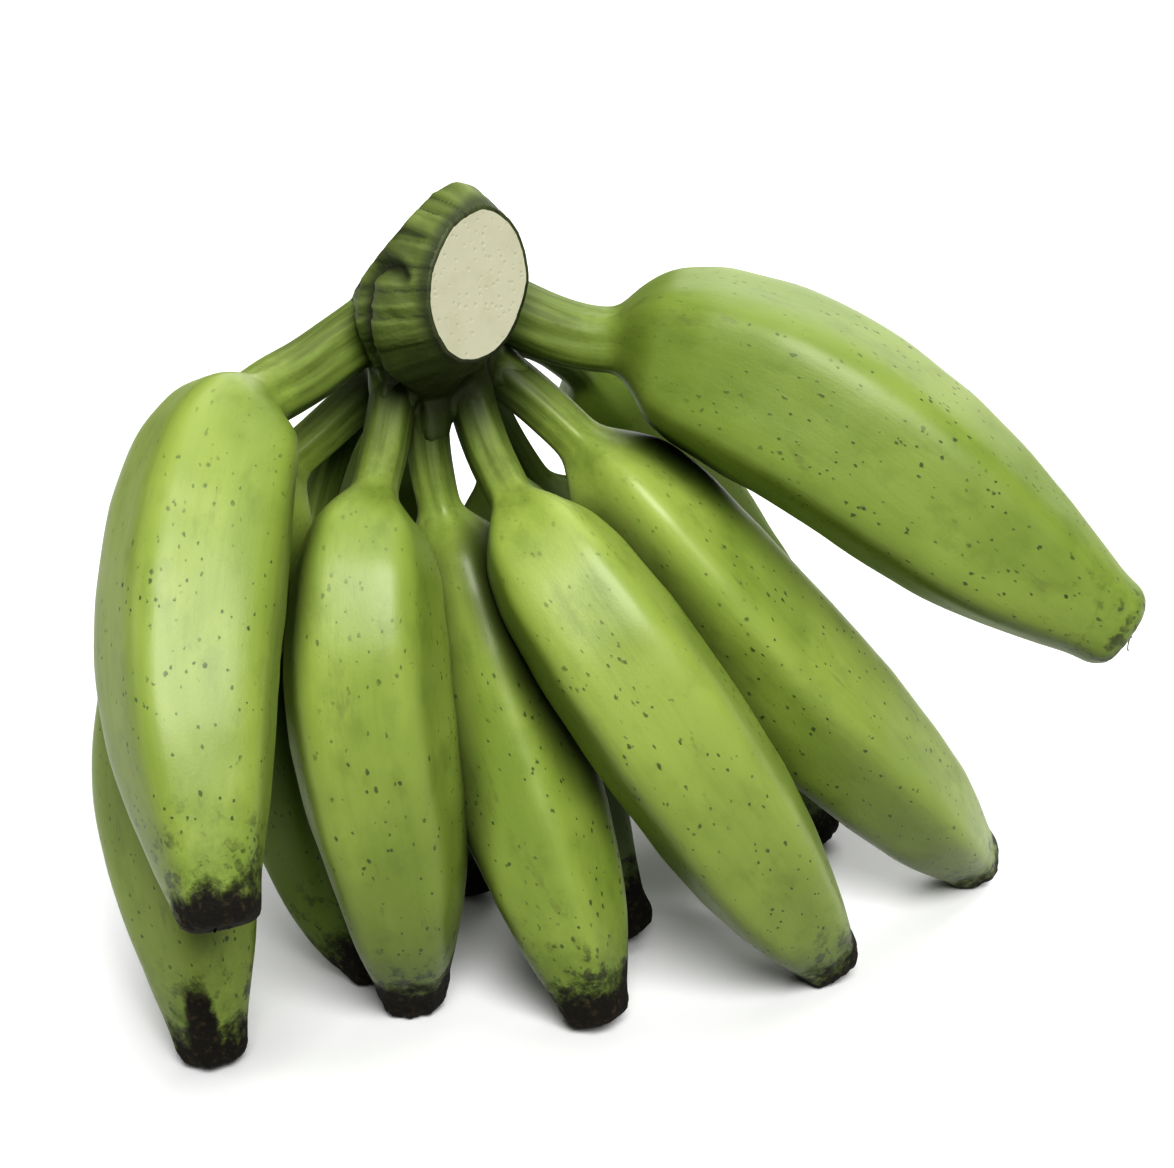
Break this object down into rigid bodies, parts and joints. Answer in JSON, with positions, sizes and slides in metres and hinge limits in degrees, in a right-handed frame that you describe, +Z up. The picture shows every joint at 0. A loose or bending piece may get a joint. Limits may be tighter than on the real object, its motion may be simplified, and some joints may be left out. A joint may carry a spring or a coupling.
{
  "type": "hand of green cooking bananas",
  "caption": "Hand of plump, ridged green cooking bananas joined at a cut woody crown, standing claw-like on its dark tips.",
  "frame": {"origin": "middle of the hand's bounding box, on the surface that the tips rest on", "axes": "+Z up with the crown on top, +X along the hand's longest side, towards the big fruit that stays in the air, -Y towards the front row of fruit"},
  "size_m": [0.252, 0.2288, 0.2032],
  "materials": {
    "peel": "waxy unripe green peel with small dark specks, blackened at the flower end",
    "crown": "rough ribbed green crown with darkened edges and a pale fresh cut face"
  },
  "bodies": {
    "root": {"crown": "crown", "banana_front_1": "peel", "banana_front_2": "peel", "banana_front_3": "peel", "banana_front_4": "peel", "banana_front_5": "peel", "banana_front_6": "peel", "banana_back_1": "peel", "banana_back_2": "peel", "banana_back_3": "peel", "banana_back_4": "peel", "banana_back_5": "peel", "banana_back_6": "peel"}
  },
  "joints": []
}
